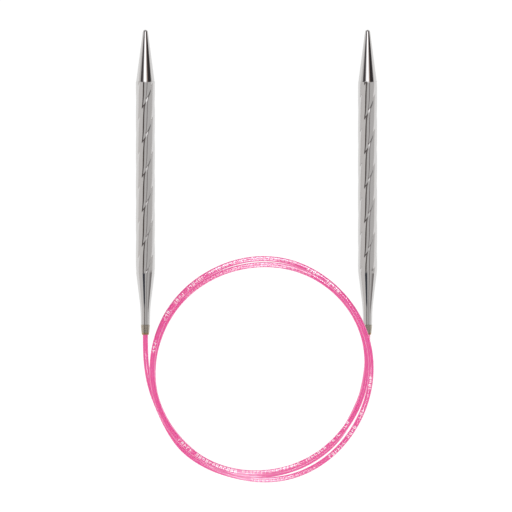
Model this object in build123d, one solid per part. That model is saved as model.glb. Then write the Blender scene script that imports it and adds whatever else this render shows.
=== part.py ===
"""A circular knitting needle laid flat: two hollow metal tips joined by one long, thin cable.

The cable runs from the left tip, two and a half times round a flat coil, and into the right tip.
Units are millimetres and +Z is up. The surface that it lies on is z = 0. The tips lie along Y with
their points towards +Y. The origin is under the middle of the pair of tips.
"""
from build123d import *
import math
import os

# Tips
tip_length = 127.6  # from the rounded nose to the mouth where the cable comes out
tip_d = 8.0  # working diameter of the barrel
right_x = 46.45  # axis of the right tip
left_x = -right_x
axis_z = tip_d / 2  # the barrels rest on the surface
nose_y = tip_length / 2
mouth_y = -tip_length / 2

# Point: a solid turned cone with a spigot pressed into the barrel
nose_r = 1.13
cone_length = 21.8
cone_base_r = 3.88
spigot_length = 12.0
spigot_play = 0.01

# Barrel: one drawn tube, swaged down at the back to a slim neck
wall = 0.8
bore_r = tip_d / 2 - wall
edge_break = 0.12
taper_start = 100.9  # distances along a tip are from its nose
taper_end = 116.4
neck_end = 123.5
neck_front_r = 2.05
neck_back_r = 1.88
swage_r = 22.0  # radius of the swaged corners
bore_end = 99.0
shoulder_at = 113.0
shoulder_r = 1.75
neck_bore_r = 1.35

# Ferrule: a brass sleeve in the neck that the cable comes out of
mouth_r = 1.475
ferrule_inset = neck_end - shoulder_at
fit_play = 0.02

# Anchor: a crimped collar that keeps the cable from pulling out
anchor_r = 1.65
anchor_length = 3.6

# Cable
cable_d = 2.2
cable_r = cable_d / 2
cable_tail = 0.6  # what stands past the anchor inside the tip

# Coil: the outer shape of the turns that lie on each other
coil_x = 2.5
coil_y = -78.4
coil_outer_r = 47.5
coil_inner_r = 40.9
coil_height = 6.6
coil_edge_r = 1.5
hump_height = 9.6  # where the turns cross over the right tip
hump_bearing = 22.0  # degrees from +X
hump_arc_r = 64.0

# Swing of a tip as the cable flexes just behind its mouth
flex_back = 4.0
swing_in = 8.0
swing_out = 25.0
pocket_half_width = 3.3
pocket_length = 24.0
pocket_height = 6.3

# Route of the cable from each mouth to where it joins the coil
left_route = [
    (left_x, mouth_y, axis_z),
    (left_x, -68.6, axis_z),
    (-46.2, -75.6, 2.7),
    (-45.1, -83.2, cable_r),
    (-42.8, -90.9, cable_r),
    (-39.95, -97.3, cable_r),
]
right_route = [
    (right_x, mouth_y, axis_z),
    (right_x, -68.6, axis_z),
    (46.3, -75.9, 2.7),
    (45.3, -83.6, cable_r),
    (43.38, -91.36, cable_r),
    (40.2, -97.6, cable_r),
]


def turned(outline, x):
    """A solid of revolution on a tip's axis, from (radius, distance from the nose) corners."""
    face = make_face(outline)
    solid = revolve(face, axis=Axis.Y)
    return Pos(x, nose_y, axis_z) * solid


def point(x):
    """The cone with its rounded nose, and the spigot behind it."""
    slope = math.atan2(cone_base_r - nose_r, cone_length - nose_r)
    start = (0, 0)
    middle = (nose_r * math.sin(math.pi / 4), -nose_r * (1 - math.cos(math.pi / 4)))
    tangent = (nose_r * math.cos(slope), -nose_r * (1 - math.sin(slope)))
    nose = ThreePointArc(start, middle, tangent)
    spigot_r = bore_r - spigot_play
    back = -cone_length - spigot_length
    side = Polyline(
        tangent,
        (cone_base_r, -cone_length),
        (spigot_r, -cone_length),
        (spigot_r, back),
        (0, back),
        start,
    )
    return turned([nose, side], x)


def barrel(x):
    """The tube with its swaged tail and neck."""
    outside = FilletPolyline(
        (tip_d / 2, -cone_length - edge_break),
        (tip_d / 2, -taper_start),
        (neck_front_r, -taper_end),
        (neck_back_r, -neck_end),
        radius=swage_r,
    )
    inside = Polyline(
        (neck_back_r, -neck_end),
        (neck_bore_r, -neck_end),
        (neck_bore_r, -shoulder_at),
        (shoulder_r, -shoulder_at),
        (bore_r, -bore_end),
        (bore_r, -cone_length),
        (tip_d / 2 - edge_break, -cone_length),
        (tip_d / 2, -cone_length - edge_break),
    )
    return turned([outside, inside], x)


def ferrule(x):
    """The brass sleeve: a tapered nose outside, a long spigot inside the neck."""
    hole_r = cable_r + fit_play
    spigot_r = neck_bore_r - spigot_play
    front = -neck_end + ferrule_inset
    outline = Polyline(
        (hole_r, front),
        (spigot_r, front),
        (spigot_r, -neck_end),
        (neck_back_r, -neck_end),
        (mouth_r, -tip_length),
        (hole_r, -tip_length),
        (hole_r, front),
    )
    return turned(outline, x)


def anchor(x):
    """The collar crimped on the cable, which bears on the end of the ferrule."""
    hole_r = cable_r + fit_play
    back = -neck_end + ferrule_inset
    front = back + anchor_length
    outline = Polyline(
        (hole_r, front),
        (anchor_r - edge_break, front),
        (anchor_r, front - edge_break),
        (anchor_r, back + edge_break),
        (anchor_r - edge_break, back),
        (hole_r, back),
        (hole_r, front),
    )
    return turned(outline, x)


def cable_end(x):
    """The stretch of cable that is held inside a tip."""
    front = -neck_end + ferrule_inset + anchor_length + cable_tail
    outline = Polyline(
        (0, front),
        (cable_r, front),
        (cable_r, -tip_length),
        (0, -tip_length),
        (0, front),
    )
    return turned(outline, x)


def route_radii(points):
    """The largest arc that the two runs at each corner allow."""
    corners = [Vector(*p) for p in points]
    radii = []
    for before, here, after in zip(corners, corners[1:], corners[2:]):
        arriving = here - before
        leaving = after - here
        half_turn = math.radians(arriving.get_angle(leaving)) / 2
        shorter = min(arriving.length, leaving.length)
        radii.append(0.45 * shorter / math.tan(half_turn))
    return radii


def cable_lead(name, points):
    """A plain tube along the cable between a tip's mouth and the coil."""
    radii = route_radii(points)
    path = FilletPolyline(*points, radius=radii)
    start = Plane(origin=path @ 0, z_dir=path % 0)
    tube = sweep(start * Circle(cable_r), path=path)
    expected = math.pi * cable_r**2 * path.length
    print(name, "length", round(path.length, 1), "radii", [round(r) for r in radii])
    print(name, "volume over section times length", round(tube.volume / expected, 4))
    return tube


def ring(height):
    """A plain ring as wide as the coil."""
    outer = Cylinder(coil_outer_r, height, align=(Align.CENTER, Align.CENTER, Align.MIN))
    inner = Cylinder(coil_inner_r, height, align=(Align.CENTER, Align.CENTER, Align.MIN))
    return outer - inner


def swing_pocket():
    """The room under the crossing that the right tip's tail needs as it swings."""
    pivot = Vector(right_x, mouth_y - flex_back)
    tail = Rectangle(
        2 * pocket_half_width,
        pocket_length,
        align=(Align.CENTER, Align.MIN),
    )
    inward = Pos(pivot.X, pivot.Y) * Rot(0, 0, swing_in) * tail
    outward = Pos(pivot.X, pivot.Y) * Rot(0, 0, -swing_out) * tail
    plan = make_hull(inward.edges() + outward.edges())
    return extrude(plan, amount=pocket_height)


def cable_coil():
    """The turns as one closed ring, with a long low hump over the right tip's tail."""
    flat = ring(coil_height)
    flat = fillet(flat.edges().group_by(Axis.Z)[-1], radius=coil_edge_r)
    arch = Rot(0, 90, 0) * Cylinder(hump_arc_r, 3 * coil_outer_r)
    arch = Rot(0, 0, hump_bearing) * Pos(0, 0, hump_height - hump_arc_r) * arch
    side = Rot(0, 0, hump_bearing) * Box(
        2 * coil_outer_r,
        2 * coil_outer_r,
        hump_height,
        align=(Align.MIN, Align.CENTER, Align.MIN),
    )
    hump = ring(hump_height) & arch & side
    return Pos(coil_x, coil_y) * (flat + hump) - swing_pocket()


os.makedirs("parts", exist_ok=True)

for side_name, side_x in (("left", left_x), ("right", right_x)):
    export_step(point(side_x), f"parts/{side_name}_point.step")
    export_step(barrel(side_x), f"parts/{side_name}_barrel.step")
    export_step(ferrule(side_x), f"parts/{side_name}_ferrule.step")
    export_step(anchor(side_x), f"parts/{side_name}_anchor.step")
    export_step(cable_end(side_x), f"parts/{side_name}_cable_end.step")

for lead_name, route in (("left_cable_lead", left_route), ("right_cable_lead", right_route)):
    export_step(cable_lead(lead_name, route), f"parts/{lead_name}.step")

export_step(cable_coil(), "parts/cable_coil.step")
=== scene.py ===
"""The looks of a circular knitting needle: two polished tips with grooved barrels and one pink cable.

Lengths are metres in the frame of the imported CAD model. Distances along a tip are from its nose.
"""
import math

import bpy
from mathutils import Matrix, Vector


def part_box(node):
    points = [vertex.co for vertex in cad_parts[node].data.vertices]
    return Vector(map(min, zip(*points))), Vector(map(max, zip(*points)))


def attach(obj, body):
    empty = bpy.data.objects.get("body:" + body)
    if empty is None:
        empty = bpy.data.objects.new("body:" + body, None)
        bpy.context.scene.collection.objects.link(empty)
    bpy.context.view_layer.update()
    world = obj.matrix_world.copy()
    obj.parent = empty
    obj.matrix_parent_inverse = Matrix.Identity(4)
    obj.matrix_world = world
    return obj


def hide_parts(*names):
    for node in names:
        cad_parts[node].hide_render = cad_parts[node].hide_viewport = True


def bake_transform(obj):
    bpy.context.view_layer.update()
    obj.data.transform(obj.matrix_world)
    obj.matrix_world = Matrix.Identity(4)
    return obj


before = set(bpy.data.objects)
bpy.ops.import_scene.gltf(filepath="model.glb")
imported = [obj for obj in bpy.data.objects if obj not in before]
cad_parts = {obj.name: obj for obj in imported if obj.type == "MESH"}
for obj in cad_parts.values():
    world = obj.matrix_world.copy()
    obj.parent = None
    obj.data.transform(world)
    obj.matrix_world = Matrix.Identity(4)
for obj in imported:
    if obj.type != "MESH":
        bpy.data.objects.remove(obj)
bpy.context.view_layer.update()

MM = 0.001

# Tips
SIDES = ("left", "right")
CONE_LENGTH = 21.8 * MM
CONE_BASE_R = 3.88 * MM
NOSE_R = 1.13 * MM
SPIGOT_LENGTH = 12.0 * MM
TAPER_START = 100.9 * MM
TAPER_END = 116.4 * MM
NECK_END = 123.5 * MM
NECK_FRONT_R = 2.05 * MM
NECK_BACK_R = 1.88 * MM
WALL = 0.8 * MM
BORE_END = 99.0 * MM
SHOULDER_AT = 113.0 * MM
SHOULDER_R = 1.75 * MM
NECK_BORE_R = 1.35 * MM
MOUTH_R = 1.475 * MM
MOUTH_ROLL = 0.12 * MM
FERRULE_BELLY = 0.06 * MM
TAPER_BLEND = 1.6 * MM  # how far the soft bend reaches either side of TAPER_START
NECK_BLEND = 3.2 * MM  # and either side of TAPER_END
BARREL_EDGE = 0.12 * MM
NECK_RIM = 0.08 * MM
FIT = 0.01 * MM  # play between pieces that sit in each other
SPIGOT_CHAMFER = 0.3 * MM
MOUTH_LIP = 0.04 * MM  # how far in the mouth's outer corner lies
SEGMENTS = 160
ROW_SPACING = 0.25 * MM
SMOOTH_ROW_SPACING = 0.35 * MM  # behind the grooves
CONE_ROW_SPACING = 1.0 * MM
ON_AXIS = 1e-9
SHARP_ANGLE = 35  # degrees

# Grooves: four starts, right-handed, shallow and smooth
GROOVE_STARTS = 4
GROOVE_SPACING = 14.4 * MM
GROOVE_AT = {"left": 30.3 * MM, "right": 34.7 * MM}
GROOVE_DEPTH = 0.15 * MM
GROOVE_SPREAD = 0.7 * MM
GROOVE_ROUNDING = 0.1 * MM
GROOVE_RUN_OUT = 1.0 * MM

# Cable
CABLE_D = 2.2 * MM
CABLE_R = CABLE_D / 2
TUBE_SIDES = 32
COIL_CENTRE = Vector((2.5 * MM, -78.4 * MM, 0))
POINTS_PER_TURN = 24
MARK_PITCH = 1.6  # along the cable, in millimetres, as the tube's u coordinate is

# Camera and studio
CAMERA_HEIGHT = 2.60
SEEN_WIDTH = 0.2144  # across the picture, on the floor
VIEW_CENTRE = (-0.2 * MM, -30.9 * MM)
SENSOR_WIDTH = 36.0  # millimetres, as Blender counts it
FLOOR_HALF = 3.0
FLOOR_Z = -0.05 * MM
SOFTBOX_WIDTH = 0.6
SOFTBOX_HEIGHT = 1.5
SOFTBOX_DISTANCE = 1.5
SOFTBOX_RISE = 45  # degrees above the floor
SOFTBOX_WATTS = 28.0
SOFTBOX_COLOUR = (0.65, 1.0, 0.96)


# ---------------------------------------------------------------- places from the frame
def tip_box(side):
    """The whole tip's nose y, mouth y, axis x, axis z and radius."""
    barrel_low, barrel_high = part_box(f"{side}_barrel")
    nose_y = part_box(f"{side}_point")[1].y
    mouth_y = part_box(f"{side}_ferrule")[0].y
    middle = (barrel_low + barrel_high) / 2
    return nose_y, mouth_y, middle.x, middle.z, (barrel_high.x - barrel_low.x) / 2


NOSE_Y, MOUTH_Y, RIGHT_X, AXIS_Z, BARREL_R = tip_box("right")
LEFT_X = tip_box("left")[2]
TIP_X = {"left": LEFT_X, "right": RIGHT_X}


# ---------------------------------------------------------------- camera
def make_camera():
    """Straight down on the needle as it lies, with the points at the top of the picture."""
    data = bpy.data.cameras.new("camera")
    data.sensor_width = SENSOR_WIDTH
    data.lens = SENSOR_WIDTH * CAMERA_HEIGHT / SEEN_WIDTH
    data.clip_end = 20.0
    camera = bpy.data.objects.new("camera", data)
    bpy.context.scene.collection.objects.link(camera)
    camera.location = (*VIEW_CENTRE, CAMERA_HEIGHT)
    camera.rotation_euler = (0, 0, 0)
    bpy.context.scene.camera = camera


make_camera()


# ---------------------------------------------------------------- node helpers
def new_material(name):
    """An empty material, its node tree and its shader."""
    material = bpy.data.materials.new(name)
    material.use_nodes = True
    tree = material.node_tree
    tree.nodes.clear()
    output = tree.nodes.new("ShaderNodeOutputMaterial")
    shader = tree.nodes.new("ShaderNodeBsdfPrincipled")
    tree.links.new(shader.outputs[0], output.inputs["Surface"])
    return material, tree, shader


def math_node(tree, operation, *inputs, clamp=False):
    """A Math node whose inputs are numbers or sockets; returns its output socket."""
    node = tree.nodes.new("ShaderNodeMath")
    node.operation = operation
    node.use_clamp = clamp
    for socket, value in zip(node.inputs, inputs):
        if isinstance(value, (int, float)):
            socket.default_value = value
        else:
            tree.links.new(value, socket)
    return node.outputs[0]


def smooth_step(tree, value, low, high):
    """0 below low, 1 above high, smooth between."""
    node = tree.nodes.new("ShaderNodeMapRange")
    node.interpolation_type = "SMOOTHSTEP"
    node.inputs["From Min"].default_value = low
    node.inputs["From Max"].default_value = high
    tree.links.new(value, node.inputs["Value"])
    return node.outputs["Result"]


def band(tree, value, low, high, soft):
    """1 between low and high, falling to 0 over soft outside them."""
    rise = smooth_step(tree, value, low - soft, low + soft)
    fall = smooth_step(tree, value, high - soft, high + soft)
    return math_node(tree, "SUBTRACT", rise, fall, clamp=True)


def mix_colour(tree, factor, first, second):
    """A Mix node of two colours, each a tuple or a socket."""
    node = tree.nodes.new("ShaderNodeMix")
    node.data_type = "RGBA"
    tree.links.new(factor, node.inputs["Factor"])
    ends = [socket for socket in node.inputs if socket.type == "RGBA"]
    for socket, value in zip(ends, (first, second)):
        if isinstance(value, tuple):
            socket.default_value = (*value, 1.0)
        else:
            tree.links.new(value, socket)
    return next(socket for socket in node.outputs if socket.type == "RGBA")


def noise(tree, scale, detail=4.0, stretch=(1.0, 1.0, 1.0)):
    """A noise texture in object space, stretched along the axes."""
    place = tree.nodes.new("ShaderNodeTexCoord")
    mapping = tree.nodes.new("ShaderNodeMapping")
    mapping.inputs["Scale"].default_value = stretch
    tree.links.new(place.outputs["Object"], mapping.inputs["Vector"])
    node = tree.nodes.new("ShaderNodeTexNoise")
    node.inputs["Scale"].default_value = scale
    node.inputs["Detail"].default_value = detail
    tree.links.new(mapping.outputs[0], node.inputs["Vector"])
    return node.outputs["Fac"]


def bump(tree, shader, height, distance):
    """Relief that is this many metres deep, on the shader's normal."""
    node = tree.nodes.new("ShaderNodeBump")
    node.inputs["Strength"].default_value = 1.0
    node.inputs["Distance"].default_value = distance
    tree.links.new(height, node.inputs["Height"])
    tree.links.new(node.outputs[0], shader.inputs["Normal"])


# ---------------------------------------------------------------- materials
def polished_metal():
    """Mirror-polished plate, with faint lengthwise polishing marks and a few handling hazes."""
    material, tree, shader = new_material("polished_metal")
    shader.inputs["Metallic"].default_value = 1.0
    tint = noise(tree, 90.0, 3.0, (1.0, 0.12, 1.0))
    colour = mix_colour(tree, tint, (0.585, 0.568, 0.556), (0.635, 0.628, 0.630))
    tree.links.new(colour, shader.inputs["Base Color"])
    haze = noise(tree, 260.0, 5.0, (1.0, 0.25, 1.0))
    roughness = math_node(tree, "MULTIPLY_ADD", haze, 0.05, 0.045)
    tree.links.new(roughness, shader.inputs["Roughness"])
    marks = noise(tree, 2600.0, 2.0, (1.0, 0.03, 1.0))
    bump(tree, shader, marks, 0.0000012)
    return material


def brass_ferrule():
    """Olive brass, satin, a little brighter where the mouth is rubbed."""
    material, tree, shader = new_material("brass_ferrule")
    shader.inputs["Metallic"].default_value = 1.0
    place = tree.nodes.new("ShaderNodeTexCoord")
    parts = tree.nodes.new("ShaderNodeSeparateXYZ")
    tree.links.new(place.outputs["Object"], parts.inputs[0])
    rubbed = smooth_step(tree, parts.outputs["Y"], MOUTH_Y + 1.1 * MM, MOUTH_Y + 0.3 * MM)
    grain = noise(tree, 1500.0, 4.0, (1.0, 6.0, 1.0))
    olive = mix_colour(tree, grain, (0.40, 0.355, 0.295), (0.44, 0.395, 0.335))
    colour = mix_colour(tree, rubbed, olive, (0.42, 0.27, 0.13))
    tree.links.new(colour, shader.inputs["Base Color"])
    roughness = math_node(tree, "MULTIPLY_ADD", grain, 0.10, 0.22)
    tree.links.new(roughness, shader.inputs["Roughness"])
    bump(tree, shader, grain, 0.0000015)
    return material


def crimp_metal():
    """Dull crimped steel, inside the tips."""
    material, tree, shader = new_material("crimp_metal")
    shader.inputs["Metallic"].default_value = 1.0
    grain = noise(tree, 1800.0, 5.0)
    colour = mix_colour(tree, grain, (0.42, 0.42, 0.43), (0.58, 0.58, 0.60))
    tree.links.new(colour, shader.inputs["Base Color"])
    roughness = math_node(tree, "MULTIPLY_ADD", grain, 0.2, 0.3)
    tree.links.new(roughness, shader.inputs["Roughness"])
    bump(tree, shader, grain, 0.00001)
    return material


def printed_marks(tree):
    """Rows of strokes and dashes of uneven height, where the marks attribute asks for them.

    Each cell along the cable has an upright stroke, sometimes a second, and a dash to one side.
    Lengths here are shares of a cell along the cable, and millimetres round it.
    """
    layer = tree.nodes.new("ShaderNodeUVMap")
    layer.uv_map = "along"
    parts = tree.nodes.new("ShaderNodeSeparateXYZ")
    tree.links.new(layer.outputs[0], parts.inputs[0])
    along = math_node(tree, "DIVIDE", parts.outputs["X"], MARK_PITCH)
    cell = math_node(tree, "FLOOR", along)
    inside = math_node(tree, "FRACT", along)
    chance = tree.nodes.new("ShaderNodeTexWhiteNoise")
    chance.noise_dimensions = "1D"
    tree.links.new(cell, chance.inputs["W"])
    three = tree.nodes.new("ShaderNodeSeparateColor")
    tree.links.new(chance.outputs["Color"], three.inputs[0])

    off_middle = math_node(tree, "ABSOLUTE", parts.outputs["Y"])
    half_height = math_node(tree, "MULTIPLY_ADD", three.outputs[0], 0.40, 0.50)
    room = math_node(tree, "SUBTRACT", half_height, off_middle)
    within = smooth_step(tree, room, -0.06, 0.06)
    first = band(tree, inside, 0.12, 0.30, 0.05)
    second = band(tree, inside, 0.52, 0.70, 0.05)
    wanted = smooth_step(tree, three.outputs[1], 0.55, 0.57)
    second = math_node(tree, "MULTIPLY", second, wanted)
    upright = math_node(tree, "MULTIPLY", math_node(tree, "MAXIMUM", first, second), within)

    side = math_node(tree, "MULTIPLY_ADD", three.outputs[2], 1.2, -0.6)
    from_dash = math_node(tree, "ABSOLUTE", math_node(tree, "SUBTRACT", parts.outputs["Y"], side))
    dash = smooth_step(tree, from_dash, 0.22, 0.12)
    dash = math_node(tree, "MULTIPLY", dash, band(tree, inside, 0.2, 0.8, 0.06))
    stroke = math_node(tree, "MAXIMUM", upright, dash)
    where = tree.nodes.new("ShaderNodeAttribute")
    where.attribute_name = "marks"
    return math_node(tree, "MULTIPLY", stroke, where.outputs["Fac"], clamp=True)


def pink_cable():
    """Glossy coated cable, slightly uneven in colour, with white printed marks."""
    material, tree, shader = new_material("pink_cable")
    cloud = noise(tree, 160.0, 3.0)
    pink = mix_colour(tree, cloud, (0.735, 0.066, 0.295), (0.775, 0.096, 0.335))
    worn = smooth_step(tree, noise(tree, 900.0, 4.0), 0.25, 0.45)
    ink = math_node(tree, "MULTIPLY", printed_marks(tree), worn)
    colour = mix_colour(tree, ink, pink, (0.95, 0.92, 0.93))
    tree.links.new(colour, shader.inputs["Base Color"])
    shader.inputs["Subsurface Weight"].default_value = 0.6
    shader.inputs["Subsurface Radius"].default_value = (1.0, 0.65, 0.8)
    shader.inputs["Subsurface Scale"].default_value = 0.0012
    shader.inputs["IOR"].default_value = 1.5
    shader.inputs["Sheen Weight"].default_value = 0.3
    shader.inputs["Sheen Roughness"].default_value = 0.35
    shader.inputs["Coat Weight"].default_value = 0.7
    shader.inputs["Coat Roughness"].default_value = 0.12
    roughness = math_node(tree, "MULTIPLY_ADD", cloud, 0.12, 0.20)
    tree.links.new(roughness, shader.inputs["Roughness"])
    ripple = noise(tree, 420.0, 3.0)
    bump(tree, shader, ripple, 0.000006)
    return material


MATERIALS = {
    "polished_metal": polished_metal(),
    "brass_ferrule": brass_ferrule(),
    "crimp_metal": crimp_metal(),
    "cable": pink_cable(),
}


# ---------------------------------------------------------------- meshes
def mesh_object(name, points, faces, material):
    """A smooth-shaded object, whose sharp corners stay crisp."""
    mesh = bpy.data.meshes.new(name)
    mesh.from_pydata(points, [], faces)
    mesh.materials.append(material)
    mesh.polygons.foreach_set("use_smooth", [True] * len(mesh.polygons))
    mesh.set_sharp_from_angle(angle=math.radians(SHARP_ANGLE))
    mesh.update()
    piece = bpy.data.objects.new(name, mesh)
    bpy.context.scene.collection.objects.link(piece)
    return piece


def lathe(name, side, outline, material, groove=None):
    """A closed solid of revolution on a tip's axis, from (radius, distance from the nose) points.

    The outline is a closed loop, unless it starts and ends on the axis. groove(radius, distance,
    turn) is how far a point sinks in; turn is the angle from straight up, towards +X.
    """
    axis_x = TIP_X[side]
    points = []
    rings = []
    for radius, distance in outline:
        ring = []
        if radius < ON_AXIS:
            ring.append(len(points))
            points.append((axis_x, NOSE_Y - distance, AXIS_Z))
        else:
            for k in range(SEGMENTS):
                turn = 2 * math.pi * k / SEGMENTS
                sunk = radius - (groove(radius, distance, turn) if groove else 0.0)
                x = axis_x + sunk * math.sin(turn)
                z = AXIS_Z + sunk * math.cos(turn)
                ring.append(len(points))
                points.append((x, NOSE_Y - distance, z))
        rings.append(ring)
    closed = outline[0][0] > ON_AXIS
    pairs = list(zip(rings, rings[1:]))
    if closed:
        pairs.append((rings[-1], rings[0]))
    faces = []
    for a, b in pairs:
        for k in range(SEGMENTS):
            n = (k + 1) % SEGMENTS
            if len(a) == 1:
                faces.append((a[0], b[n], b[k]))
            elif len(b) == 1:
                faces.append((a[k], a[n], b[0]))
            else:
                faces.append((a[k], a[n], b[n], b[k]))
    return mesh_object(name, points, faces, material)


def steps(start, stop, spacing):
    """Evenly spaced values from start to stop, both included."""
    count = max(1, math.ceil(abs(stop - start) / spacing))
    return [start + (stop - start) * k / count for k in range(count + 1)]


def ramp(x, reach):
    """0, then x, with a parabola of that reach either side of the corner between."""
    if x < -reach:
        return 0.0
    if x > reach:
        return x
    return (x + reach) ** 2 / (4 * reach)


def barrel_outside(distance):
    """The barrel's outer radius: parallel, then tapered, then the slim neck."""
    taper = (BARREL_R - NECK_FRONT_R) / (TAPER_END - TAPER_START)
    neck = (NECK_FRONT_R - NECK_BACK_R) / (NECK_END - TAPER_END)
    radius = BARREL_R
    radius -= taper * ramp(distance - TAPER_START, TAPER_BLEND)
    radius += (taper - neck) * ramp(distance - TAPER_END, NECK_BLEND)
    return radius


def make_groove(side):
    """The function that gives how far the barrel's surface sinks at a point.

    The grooves fade out just past the start of the taper. The bore and the neck have none.
    """

    def sink(radius, distance, turn):
        if radius < BARREL_R * 0.9:
            return 0.0
        along = (distance - GROOVE_AT[side]) / GROOVE_SPACING
        phase = along + GROOVE_STARTS * turn / (2 * math.pi)
        lean = math.atan2(2 * math.pi * BARREL_R, GROOVE_STARTS * GROOVE_SPACING)
        off = abs(phase - round(phase)) * GROOVE_SPACING * math.sin(lean)
        away = math.hypot(off, GROOVE_ROUNDING) - GROOVE_ROUNDING
        depth = GROOVE_DEPTH * math.exp(-away / GROOVE_SPREAD)
        fade = min(1.0, max(0.0, (TAPER_START + GROOVE_RUN_OUT - distance) / GROOVE_RUN_OUT))
        return depth * fade * fade * (3 - 2 * fade)

    return sink


def make_barrel(side):
    """The grooved tube: outside from front to back, then the bore from back to front."""
    edge = BARREL_EDGE
    rim = NECK_RIM
    outline = [(BARREL_R - edge, CONE_LENGTH), (BARREL_R - edge * 0.3, CONE_LENGTH + edge * 0.3)]
    bend = TAPER_START - TAPER_BLEND
    rows = steps(CONE_LENGTH + edge, bend, ROW_SPACING)
    rows += steps(bend, NECK_END - rim, SMOOTH_ROW_SPACING)[1:]
    outline += [(barrel_outside(d), d) for d in rows]
    outline += [(NECK_BACK_R - rim, NECK_END), (NECK_BORE_R, NECK_END)]
    outline += [(NECK_BORE_R, SHOULDER_AT), (SHOULDER_R, SHOULDER_AT)]
    outline += [(BARREL_R - WALL, BORE_END), (BARREL_R - WALL, CONE_LENGTH)]
    piece = lathe(f"{side}_barrel_shell", side, outline, MATERIALS["polished_metal"], make_groove(side))
    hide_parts(f"{side}_barrel")
    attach(piece, f"{side}_tip")


def make_point(side):
    """The cone with its rounded nose, a soft corner at its base, and its spigot."""
    slope = math.atan2(CONE_BASE_R - NOSE_R, CONE_LENGTH - NOSE_R)
    outline = [(0.0, 0.0)]
    for k in range(1, 13):
        turn = (math.pi / 2 - slope) * k / 12
        outline.append((NOSE_R * math.sin(turn), NOSE_R * (1 - math.cos(turn))))
    start_r, start = outline[-1]
    for distance in steps(start, CONE_LENGTH - 0.1 * MM, CONE_ROW_SPACING)[1:]:
        share = (distance - start) / (CONE_LENGTH - start)
        outline.append((start_r + (CONE_BASE_R - start_r) * share, distance))
    spigot_r = BARREL_R - WALL - FIT
    outline += [(CONE_BASE_R, CONE_LENGTH), (spigot_r, CONE_LENGTH)]
    back = CONE_LENGTH + SPIGOT_LENGTH
    outline += [(spigot_r, back - SPIGOT_CHAMFER), (spigot_r - SPIGOT_CHAMFER, back), (0.0, back)]
    piece = lathe(f"{side}_point_cone", side, outline, MATERIALS["polished_metal"])
    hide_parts(f"{side}_point")
    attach(piece, f"{side}_tip")


def make_ferrule(side):
    """The tapered brass nose with its rolled mouth, and the sleeve that sits in the neck."""
    hole_r = CABLE_R + 2 * FIT
    sleeve_r = NECK_BORE_R - FIT
    tip_length = NOSE_Y - MOUTH_Y
    roll = MOUTH_ROLL
    nose_start = NECK_END + NECK_RIM
    outline = [(hole_r, SHOULDER_AT), (sleeve_r, SHOULDER_AT)]
    outline += [(sleeve_r, NECK_END), (NECK_BACK_R - 0.05 * MM, NECK_END)]
    outline += [(NECK_BACK_R, nose_start)]
    for distance in steps(nose_start, tip_length - roll, ROW_SPACING)[1:]:
        share = (distance - NECK_END) / (tip_length - NECK_END)
        belly = FERRULE_BELLY * math.sin(math.pi * share)
        outline.append((NECK_BACK_R + (MOUTH_R - NECK_BACK_R) * share + belly, distance))
    outline += [(MOUTH_R - MOUTH_LIP, tip_length - 0.03 * MM), (MOUTH_R - roll, tip_length)]
    outline += [(hole_r, tip_length)]
    piece = lathe(f"{side}_ferrule_sleeve", side, outline, MATERIALS["brass_ferrule"])
    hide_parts(f"{side}_ferrule")
    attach(piece, f"{side}_tip")


# ---------------------------------------------------------------- cable
LEFT_ROUTE = [
    (LEFT_X, MOUTH_Y, AXIS_Z),
    (LEFT_X, -68.6 * MM, AXIS_Z),
    (-46.2 * MM, -75.6 * MM, 2.7 * MM),
    (-45.1 * MM, -83.2 * MM, CABLE_R),
    (-42.8 * MM, -90.9 * MM, CABLE_R),
    (-39.95 * MM, -97.3 * MM, CABLE_R),
]
RIGHT_ROUTE = [
    (RIGHT_X, MOUTH_Y, AXIS_Z),
    (RIGHT_X, -68.6 * MM, AXIS_Z),
    (46.3 * MM, -75.9 * MM, 2.7 * MM),
    (45.3 * MM, -83.6 * MM, CABLE_R),
    (43.38 * MM, -91.36 * MM, CABLE_R),
    (40.2 * MM, -97.6 * MM, CABLE_R),
]

# How the loose turns lie: bearing from +X, counterclockwise and rising along the cable, in degrees,
# then the turn's radius and the height of its middle, in millimetres. The heights keep the middles
# of strands that cross or lie side by side at least a cable's diameter apart.
TURNS = (
    (-156, 46.5, 1.1),
    (-148, 46.8, 1.1),
    (-134, 47.3, 1.1),
    (-125, 47.0, 1.1),
    (-115, 46.3, 1.1),
    (-103, 45.85, 1.1),
    (-90, 46.2, 1.1),
    (-72, 46.4, 1.1),
    (-50, 45.85, 1.2),
    (-28, 45.3, 2.6),
    (-8, 45.3, 5.45),
    (8, 45.45, 8.2),
    (22, 45.55, 8.55),
    (42, 45.65, 6.7),
    (60, 46.0, 4.0),
    (80, 46.5, 2.1),
    (100, 46.25, 1.55),
    (120, 46.0, 2.5),
    (145, 46.15, 3.1),
    (170, 46.15, 3.8),
    (186, 46.1, 5.3),
    (205, 45.9, 5.5),
    (218, 45.55, 5.4),
    (232, 45.1, 5.2),
    (246, 44.45, 5.4),
    (258, 43.65, 4.95),
    (270, 43.05, 4.4),
    (285, 42.55, 3.2),
    (300, 42.3, 3.15),
    (318, 42.2, 3.25),
    (332, 42.5, 3.45),
    (345, 42.95, 3.7),
    (358, 43.45, 5.3),
    (370, 44.1, 6.35),
    (385, 44.6, 6.45),
    (400, 44.7, 4.6),
    (418, 44.5, 2.0),
    (435, 44.2, 1.2),
    (450, 43.85, 1.1),
    (465, 43.7, 1.1),
    (480, 43.95, 1.1),
    (500, 44.55, 1.1),
    (525, 45.2, 1.3),
    (548, 46.0, 3.05),
    (565, 45.7, 3.3),
    (580, 45.3, 2.7),
    (595, 45.0, 2.45),
    (608, 45.0, 3.05),
    (620, 44.7, 3.15),
    (630, 44.2, 2.35),
    (642, 43.75, 1.1),
    (660, 43.3, 1.1),
    (675, 42.9, 1.1),
    (685, 42.55, 1.1),
    (693, 42.3, 1.1),
)


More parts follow.
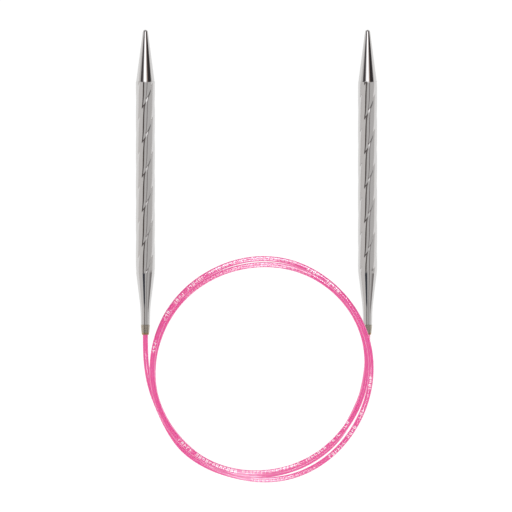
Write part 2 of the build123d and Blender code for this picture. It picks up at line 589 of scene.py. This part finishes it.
def eased(table, at, column):
    """A smooth curve through one column of a table of bearings."""
    rows = [table[0], *table, table[-1]]
    for k in range(1, len(rows) - 2):
        if at <= rows[k + 1][0]:
            break
    before, low, high, after = rows[k - 1 : k + 3]
    span = high[0] - low[0]
    share = (at - low[0]) / span
    rise = high[column] - low[column]
    slope_low = (high[column] - before[column]) / (high[0] - before[0]) * span
    slope_high = (after[column] - low[column]) / (after[0] - low[0]) * span
    a = slope_low + slope_high - 2 * rise
    b = 3 * rise - 2 * slope_low - slope_high
    return ((a * share + b) * share + slope_low) * share + low[column]


def coil_route():
    """The turns' points, on the corners of a many-sided figure round the curve that they make."""
    first, last = TURNS[0][0], TURNS[-1][0]
    count = round((last - first) / 360 * POINTS_PER_TURN)
    step = (last - first) / count
    outward = 1 / math.cos(math.radians(step / 2))
    points = [Vector(LEFT_ROUTE[-1])]
    points.append(2 * points[0] - Vector(LEFT_ROUTE[-2]))
    for k in range(1, count - 1):
        bearing = first + (k + 0.5) * step
        radius = eased(TURNS, bearing, 1) * MM * outward
        height = max(eased(TURNS, bearing, 2) * MM, CABLE_R)
        turn = math.radians(bearing)
        across = Vector((radius * math.cos(turn), radius * math.sin(turn), height))
        points.append(COIL_CENTRE + across)
    end = Vector(RIGHT_ROUTE[-1])
    points.append(2 * end - Vector(RIGHT_ROUTE[-2]))
    points.append(end)
    return points


def smooth_line(name, route):
    """Points close together on one smooth curve with the route as its control points."""
    data = bpy.data.curves.new(name, "CURVE")
    data.dimensions = "3D"
    data.resolution_u = 14
    spline = data.splines.new("NURBS")
    spline.points.add(len(route) - 1)
    for point, place in zip(spline.points, route):
        point.co = (*place, 1.0)
    spline.order_u = 3
    spline.use_endpoint_u = True
    holder = bpy.data.objects.new(name, data)
    bpy.context.scene.collection.objects.link(holder)
    bpy.context.view_layer.update()
    line = bpy.data.meshes.new_from_object(holder)
    points = [v.co.copy() for v in line.vertices]
    bpy.data.objects.remove(holder)
    bpy.data.curves.remove(data)
    bpy.data.meshes.remove(line)
    return points


def length_of(points):
    return sum((b - a).length for a, b in zip(points, points[1:]))


def make_tube(name, line, start_length, marks):
    """A round tube along a line, with distance along the cable and round it as coordinates.

    marks(ring) gives the print's strength at a ring of the tube, and how far it is turned outwards.
    """
    points = []
    faces = []
    travelled = [start_length]
    for a, b in zip(line, line[1:]):
        travelled.append(travelled[-1] + (b - a).length)
    for k, here in enumerate(line):
        ahead = line[min(k + 1, len(line) - 1)] - line[max(k - 1, 0)]
        across = ahead.cross(Vector((0, 0, 1))).normalized()
        up = across.cross(ahead).normalized()
        for j in range(TUBE_SIDES):
            turn = 2 * math.pi * j / TUBE_SIDES
            points.append(here + CABLE_R * (math.sin(turn) * across - math.cos(turn) * up))
    for k in range(len(line) - 1):
        for j in range(TUBE_SIDES):
            n = (j + 1) % TUBE_SIDES
            near, far = k * TUBE_SIDES, (k + 1) * TUBE_SIDES
            faces.append((near + j, far + j, far + n, near + n))
    sides = len(faces)
    faces.append(tuple(range(TUBE_SIDES)))
    faces.append(tuple(reversed(range(len(points) - TUBE_SIDES, len(points)))))
    piece = mesh_object(name, points, faces, MATERIALS["cable"])
    layer = piece.data.uv_layers.new(name="along")
    around = 2 * math.pi * CABLE_R / MM
    for face in piece.data.polygons[:sides]:
        k, j = divmod(face.index, TUBE_SIDES)
        for loop in face.loop_indices:
            ring, place = divmod(piece.data.loops[loop].vertex_index, TUBE_SIDES)
            if j == TUBE_SIDES - 1 and place == 0:
                place = TUBE_SIDES
            turned = (place / TUBE_SIDES - 0.5) * around + marks(ring)[1]
            layer.data[loop].uv = (travelled[ring] / MM, turned)
    wanted = piece.data.attributes.new("marks", "FLOAT", "POINT")
    for k, here in enumerate(line):
        for j in range(TUBE_SIDES):
            wanted.data[k * TUBE_SIDES + j].value = marks(k)[0]
    return piece


# Bearings between which the cable is printed, in degrees, then the strength of the print there
# and how far it has turned from the cable's top, towards the coil's outside, in millimetres.
PRINTED = (
    (-96, -60, 0.3, 0.5),
    (-53, -41, 0.75, 0.2),
    (-38.5, -31, 0.8, 0.1),
    (-27, -20.5, 0.8, 0.0),
    (-10, -2.5, 0.8, 0.0),
    (45, 53.5, 0.8, 0.0),
    (58, 67, 0.8, 0.1),
    (73, 102, 0.4, 0.2),
    (104, 120, 0.7, 0.1),
    (123.5, 133, 0.75, 0.0),
    (135.5, 142.5, 0.75, -0.1),
    (147, 153.5, 0.8, 0.0),
    (164.5, 171.5, 0.8, 0.0),
    (219, 229, 0.75, 0.0),
    (232, 256, 0.8, -0.1),
    (258, 279, 0.4, -0.4),
    (280, 291, 0.8, -0.6),
    (296, 309, 0.8, -0.6),
    (312, 316, 0.8, -0.6),
    (318, 321, 0.8, -0.6),
    (324.5, 329.5, 0.8, -0.6),
    (420, 455, 0.3, -0.5),
    (463, 497, 0.3, -0.6),
)


def bearings_along(line):
    """The bearing of each point of the coil from its centre, in degrees, rising along the cable."""
    found = []
    for here in line:
        across = here - COIL_CENTRE
        bearing = math.degrees(math.atan2(across.y, across.x))
        near = found[-1] if found else TURNS[0][0]
        bearing += 360 * round((near - bearing) / 360)
        found.append(bearing)
    return found


def make_cable():
    """The turns and the two leads, as three tubes that meet end to end."""
    left_line = smooth_line("left_line", LEFT_ROUTE)
    coil_line = smooth_line("coil_line", coil_route())
    right_line = smooth_line("right_line", RIGHT_ROUTE)
    bearings = bearings_along(coil_line)

    def printed(k):
        here = [row for row in PRINTED if row[0] <= bearings[k] <= row[1]]
        return here[0][2:] if here else (0.0, 0.0)

    def plain(k):
        return 0.0, 0.0

    start = length_of(left_line)
    end = start + length_of(coil_line)
    left = make_tube("left_cable_flex", left_line, 0.0, plain)
    coil = make_tube("cable_turns", coil_line, start, printed)
    right = make_tube("right_cable_flex", right_line, end, plain)
    # The metal doesn't mirror the cable, and the cable is lit as if nothing lay near it, so that its
    # turns have no dark lines between them.
    for piece in (left, coil, right):
        piece.visible_glossy = False
        piece.visible_diffuse = False
        piece.visible_shadow = False
    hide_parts("cable_coil")
    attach(coil, "cable")
    for side, piece, line in (("left", left, left_line), ("right", right, right_line)):
        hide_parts(f"{side}_cable_lead")
        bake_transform(piece)


make_cable()
for side in SIDES:
    make_point(side)
    make_barrel(side)
    make_ferrule(side)


# ---------------------------------------------------------------- CAD nodes that stay
def dress(node, slot_name):
    """Gives a CAD node that stays the material of its slot."""
    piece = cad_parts[node]
    piece.data.materials.clear()
    piece.data.materials.append(MATERIALS[slot_name])


for side in SIDES:
    dress(f"{side}_anchor", "crimp_metal")
    dress(f"{side}_cable_end", "cable")


# ---------------------------------------------------------------- floor and light
def make_floor():
    """A pale floor that glows a little, so that it is as white as the air round it."""
    corners = ((-1, -1), (1, -1), (1, 1), (-1, 1))
    points = [(x * FLOOR_HALF, y * FLOOR_HALF, FLOOR_Z) for x, y in corners]
    material, tree, shader = new_material("pale_floor")
    shader.inputs["Base Color"].default_value = (0.22, 0.22, 0.22, 1.0)
    shader.inputs["Roughness"].default_value = 0.9
    shader.inputs["Specular IOR Level"].default_value = 0.1
    shader.inputs["Emission Color"].default_value = (1.0, 1.0, 1.0, 1.0)
    shader.inputs["Emission Strength"].default_value = 0.84
    floor = mesh_object("floor", points, [(0, 1, 2, 3)], material)


def make_world():
    """White all round for light and for the camera. What polished metal mirrors is a studio above."""
    world = bpy.data.worlds.new("studio")
    world.use_nodes = True
    bpy.context.scene.world = world
    tree = world.node_tree
    tree.nodes.clear()
    place = tree.nodes.new("ShaderNodeTexCoord")
    parts = tree.nodes.new("ShaderNodeSeparateXYZ")
    tree.links.new(place.outputs["Generated"], parts.inputs[0])
    across = math_node(tree, "ARCTAN2", parts.outputs["X"], parts.outputs["Z"])
    across = math_node(tree, "MULTIPLY", across, 180 / math.pi)
    forward = math_node(tree, "ARCSINE", parts.outputs["Y"])
    forward = math_node(tree, "MULTIPLY", forward, 180 / math.pi)

    colour = (0.80, 0.78, 0.77)
    # Each patch, in degrees from straight up: its edges towards +X, its edges towards +Y, the
    # softness of each pair, then its colour. Later patches cover earlier ones.
    patches = (
        ((-10, 82), (-90, 8), (3, 3), (0.66, 0.65, 0.645)),
        ((18.5, 26), (-30, 8), (2, 3), (0.15, 0.12, 0.12)),
        ((-30.5, -12.5), (-9, 8), (2.5, 4), (0.10, 0.085, 0.08)),
        ((-35, -5), (-30, -9), (3, 4), (0.055, 0.06, 0.075)),
        ((58, 100), (-30, -6), (16, 4), (0.27, 0.25, 0.25)),
        ((24, 56), (6, 56), (4, 1.5), (0.05, 0.045, 0.045)),
        ((-40, -6), (6, 11), (4, 1.5), (0.12, 0.10, 0.10)),
        ((-1, 14), (7, 12), (5, 1.5), (2.4, 2.4, 2.45)),
        ((-64, -27), (11, 90), (8, 3), (0.085, 0.075, 0.08)),
        ((30, 80), (11, 90), (8, 2), (0.045, 0.04, 0.042)),
        ((18, 28), (10, 30), (6, 3), (0.60, 0.46, 0.39)),
        ((-15, 11), (11, 27), (10, 2), (2.2, 2.2, 2.25)),
        ((-100, 100), (33, 100), (8, 3), (0.30, 0.29, 0.29)),
        ((-100, 100), (-100, -34), (6, 4), (0.55, 0.55, 0.56)),
    )
    for sides, ends, soft, tone in patches:
        inside = math_node(
            tree,
            "MULTIPLY",
            band(tree, across, *sides, soft[0]),
            band(tree, forward, *ends, soft[1]),
        )
        colour = mix_colour(tree, inside, colour, tone)

    rays = tree.nodes.new("ShaderNodeLightPath")
    mirrored = tree.nodes.new("ShaderNodeBackground")
    tree.links.new(colour, mirrored.inputs["Color"])
    plain = tree.nodes.new("ShaderNodeBackground")
    plain.inputs["Color"].default_value = (1.0, 1.0, 1.0, 1.0)
    plain.inputs["Strength"].default_value = 1.06
    choose = tree.nodes.new("ShaderNodeMixShader")
    tree.links.new(rays.outputs["Is Glossy Ray"], choose.inputs[0])
    tree.links.new(plain.outputs[0], choose.inputs[1])
    tree.links.new(mirrored.outputs[0], choose.inputs[2])
    output = tree.nodes.new("ShaderNodeOutputWorld")
    tree.links.new(choose.outputs[0], output.inputs["Surface"])


def make_softboxes(names):
    """A softbox beyond the points and one behind the coil, for the gloss on these pieces only."""
    lit = bpy.data.collections.new("glossy_cable")
    for name in names:
        lit.objects.link(bpy.data.objects[name])
    middle = Vector((0, COIL_CENTRE.y, 0))
    rise = math.radians(SOFTBOX_RISE)
    for name, forward in (("far_softbox", 1.0), ("near_softbox", -1.0)):
        data = bpy.data.lights.new(name, "AREA")
        data.shape = "RECTANGLE"
        data.size = SOFTBOX_WIDTH
        data.size_y = SOFTBOX_HEIGHT
        data.energy = SOFTBOX_WATTS
        data.color = SOFTBOX_COLOUR
        box = bpy.data.objects.new(name, data)
        bpy.context.scene.collection.objects.link(box)
        away = Vector((0, forward * math.cos(rise), math.sin(rise)))
        box.location = middle + away * SOFTBOX_DISTANCE
        box.rotation_euler = away.to_track_quat("Z", "Y").to_euler()
        box.visible_diffuse = False
        box.visible_camera = False
        box.light_linking.receiver_collection = lit


make_floor()
make_world()
make_softboxes(("left_cable_flex", "cable_turns", "right_cable_flex"))
bpy.context.scene.view_settings.view_transform = "Standard"
